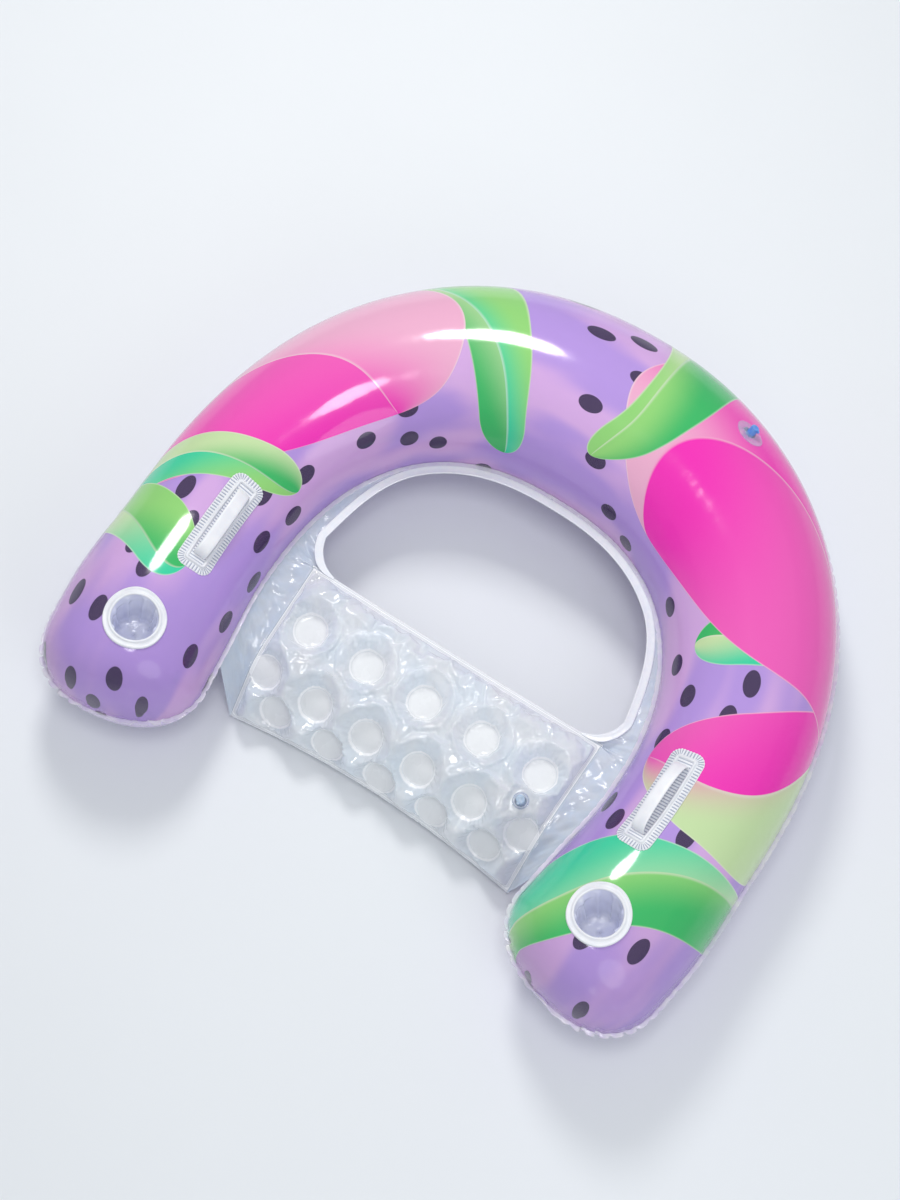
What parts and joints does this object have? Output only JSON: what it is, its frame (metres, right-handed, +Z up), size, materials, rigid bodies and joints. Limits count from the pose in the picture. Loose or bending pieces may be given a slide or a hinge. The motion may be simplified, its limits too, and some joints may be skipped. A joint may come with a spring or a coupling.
{
  "type": "inflatable water hammock",
  "caption": "U-shaped inflatable ring with a quilted sling seat across its arms, cup holders, grab handles and push-in air valves.",
  "frame": {"origin": "middle of the float's overall length and width, on the surface it rests on", "axes": "+X across the arms to the sitter's right as seen from above with the arch at the top, +Y from the arm ends to the arch, +Z up"},
  "size_m": [1.23, 1.0856, 0.3345],
  "materials": {
    "printed_vinyl": "glossy printed PVC sheet, slightly see-through",
    "under_vinyl": "glossy lilac PVC sheet",
    "clear_vinyl": "clear PVC, faintly blue",
    "frosted_vinyl": "clear PVC sheet, milky where welded",
    "white_moulding": "semi-matt white PVC moulding",
    "white_band": "white PVC welding band",
    "lilac_well": "translucent lilac PVC sheet",
    "blue_stem": "clear blue soft PVC"
  },
  "bodies": {
    "float": {"tube_upper_panel": "printed_vinyl", "tube_lower_panel": "under_vinyl", "seat_skirt": "clear_vinyl", "opening_rim": "white_band", "seat_upper_sheet": "frosted_vinyl", "seat_lower_sheet": "frosted_vinyl", "cup_ring_right": "white_moulding", "cup_ring_left": "white_moulding", "cup_well_right": "lilac_well", "cup_well_left": "lilac_well", "handle_right": "white_moulding", "handle_left": "white_moulding", "tube_valve_base": "clear_vinyl", "seat_valve_base": "clear_vinyl"},
    "tube_valve_stem": {"tube_valve_stem": "blue_stem"},
    "tube_valve_cap": {"tube_valve_cap": "blue_stem"},
    "tube_valve_flap": {"tube_valve_flap": "clear_vinyl"},
    "seat_valve_stem": {"seat_valve_stem": "blue_stem"},
    "seat_valve_cap": {"seat_valve_cap": "blue_stem"},
    "seat_valve_flap": {"seat_valve_flap": "clear_vinyl"}
  },
  "joints": [
    {"name": "tube_valve_push", "type": "slide", "parent": "float", "child": "tube_valve_stem", "axis": [0.2639, 0.5254, 0.8089], "range_m": [-0.0085, 0]},
    {"name": "tube_cap_hinge", "type": "hinge", "parent": "tube_valve_stem", "child": "tube_valve_cap", "pos_m": [0.23638, 0.43121, 0.30448], "axis": [0.2586, 0.7694, -0.5841], "range_deg": [0, 150]},
    {"name": "tube_flap_hinge", "type": "hinge", "parent": "tube_valve_stem", "child": "tube_valve_flap", "pos_m": [0.2261, 0.41961, 0.28464], "axis": [-0.2586, -0.7694, 0.5841], "range_deg": [0, 45], "stiffness_Nm_per_rad": 0.0004, "springref_deg": -2.86},
    {"name": "seat_valve_push", "type": "slide", "parent": "float", "child": "seat_valve_stem", "axis": [-0.0331, -0.1024, 0.9942], "range_m": [-0.0085, 0]},
    {"name": "seat_cap_hinge", "type": "hinge", "parent": "seat_valve_stem", "child": "seat_valve_cap", "pos_m": [0.22554, -0.28187, 0.14141], "axis": [0.9995, -0.0034, 0.033], "range_deg": [0, 150]},
    {"name": "seat_flap_hinge", "type": "hinge", "parent": "seat_valve_stem", "child": "seat_valve_flap", "pos_m": [0.22637, -0.27535, 0.11711], "axis": [-0.9995, 0.0034, -0.033], "range_deg": [0, 45], "stiffness_Nm_per_rad": 0.0004, "springref_deg": -2.86}
  ]
}
